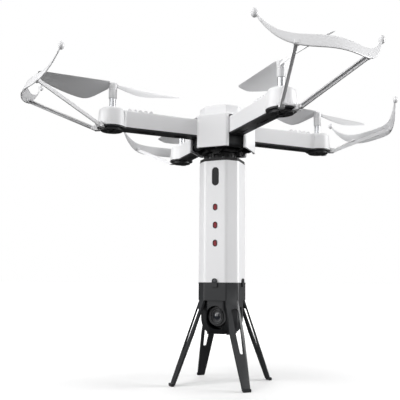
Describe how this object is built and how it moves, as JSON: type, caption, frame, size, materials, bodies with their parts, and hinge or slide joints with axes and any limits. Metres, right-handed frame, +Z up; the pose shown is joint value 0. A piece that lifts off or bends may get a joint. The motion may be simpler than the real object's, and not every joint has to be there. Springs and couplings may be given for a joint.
{
  "type": "quadcopter drone",
  "caption": "Folding quadcopter drone: upright eight-sided body tube on splayed legs, head with folding arms, propellers with curved guards and a tilting camera below.",
  "frame": {"origin": "on the ground, on the centre line of the body tube, midway between the four feet", "axes": "+Z up along the body tube, -Y towards the front, which has the button, the lights and the camera lens, +X to the drone's side that is right in a view from the front"},
  "size_m": [0.2706, 0.2706, 0.2372],
  "materials": {
    "white_shell": "satin moulded plastic",
    "propeller_white": "satin moulded plastic",
    "guard_white": "satin moulded plastic",
    "black_plastic": "satin black plastic",
    "cover_black": "satin dark grey plastic",
    "frame_black": "matte black plastic",
    "camera_black": "semi-gloss black",
    "button_black": "gloss black",
    "red_lens": "red light lens",
    "lens_glass": "coated lens glass",
    "rubber_pad": "matte rubber",
    "steel": "bright steel",
    "dark_screw": "blackened steel",
    "metal_can": "satin metal",
    "circuit_board": "green circuit board",
    "battery_wrap": "shrink wrap"
  },
  "bodies": {
    "airframe": {"landing_gear": "black_plastic", "gear_screws": "dark_screw", "foot_pads": "rubber_pad", "body_tube": "white_shell", "tube_ring": "rubber_pad", "button_switch": "metal_can", "status_lights": "red_lens", "control_board": "circuit_board", "battery_pack": "battery_wrap", "neck_mount": "frame_black", "neck_screws": "steel", "head_frame": "frame_black", "flight_board": "circuit_board", "head_shell": "white_shell", "top_cap": "white_shell", "camera_guard": "black_plastic", "camera_yoke": "frame_black", "hinge_pin_fr": "steel", "hinge_pin_fl": "steel", "hinge_pin_rr": "steel", "hinge_pin_rl": "steel"},
    "button": {"power_button": "button_black"},
    "camera": {"camera_ball": "camera_black", "lens_barrel": "button_black", "lens_glass": "lens_glass"},
    "arm_fr": {"arm_shell_fr": "white_shell", "arm_cover_fr": "cover_black", "motor_fr": "metal_can", "guard_frame_fr": "guard_white", "guard_band_fr": "guard_white"},
    "rotor_fr": {"motor_shaft_fr": "steel", "propeller_fr": "propeller_white"},
    "arm_fl": {"arm_shell_fl": "white_shell", "arm_cover_fl": "cover_black", "motor_fl": "metal_can", "guard_frame_fl": "guard_white", "guard_band_fl": "guard_white"},
    "rotor_fl": {"motor_shaft_fl": "steel", "propeller_fl": "propeller_white"},
    "arm_rr": {"arm_shell_rr": "white_shell", "arm_cover_rr": "cover_black", "motor_rr": "metal_can", "guard_frame_rr": "guard_white", "guard_band_rr": "guard_white"},
    "rotor_rr": {"motor_shaft_rr": "steel", "propeller_rr": "propeller_white"},
    "arm_rl": {"arm_shell_rl": "white_shell", "arm_cover_rl": "cover_black", "motor_rl": "metal_can", "guard_frame_rl": "guard_white", "guard_band_rl": "guard_white"},
    "rotor_rl": {"motor_shaft_rl": "steel", "propeller_rl": "propeller_white"}
  },
  "joints": [
    {"name": "button_press", "type": "slide", "parent": "airframe", "child": "button", "axis": [0, 1, 0], "range_m": [0, 0.0008], "stiffness_N_per_m": 300},
    {"name": "camera_tilt", "type": "hinge", "parent": "airframe", "child": "camera", "pos_m": [0, 0, 0.0518], "axis": [1, 0, 0], "range_deg": [-25, 25]},
    {"name": "arm_fold_fr", "type": "hinge", "parent": "airframe", "child": "arm_fr", "pos_m": [0.01414, -0.01414, 0.1871], "axis": [0.7071, 0.7071, 0], "range_deg": [0, 90]},
    {"name": "rotor_spin_fr", "type": "hinge", "parent": "arm_fr", "child": "rotor_fr", "pos_m": [0.06626, -0.06626, 0.2278], "axis": [0, 0, 1], "continuous": true},
    {"name": "arm_fold_fl", "type": "hinge", "parent": "airframe", "child": "arm_fl", "pos_m": [-0.01414, -0.01414, 0.1871], "axis": [0.7071, -0.7071, 0], "range_deg": [0, 90]},
    {"name": "rotor_spin_fl", "type": "hinge", "parent": "arm_fl", "child": "rotor_fl", "pos_m": [-0.06626, -0.06626, 0.2278], "axis": [0, 0, 1], "continuous": true},
    {"name": "arm_fold_rr", "type": "hinge", "parent": "airframe", "child": "arm_rr", "pos_m": [0.01414, 0.01414, 0.1871], "axis": [-0.7071, 0.7071, 0], "range_deg": [0, 90]},
    {"name": "rotor_spin_rr", "type": "hinge", "parent": "arm_rr", "child": "rotor_rr", "pos_m": [0.06626, 0.06626, 0.2278], "axis": [0, 0, 1], "continuous": true},
    {"name": "arm_fold_rl", "type": "hinge", "parent": "airframe", "child": "arm_rl", "pos_m": [-0.01414, 0.01414, 0.1871], "axis": [-0.7071, -0.7071, 0], "range_deg": [0, 90]},
    {"name": "rotor_spin_rl", "type": "hinge", "parent": "arm_rl", "child": "rotor_rl", "pos_m": [-0.06626, 0.06626, 0.2278], "axis": [0, 0, 1], "continuous": true}
  ]
}
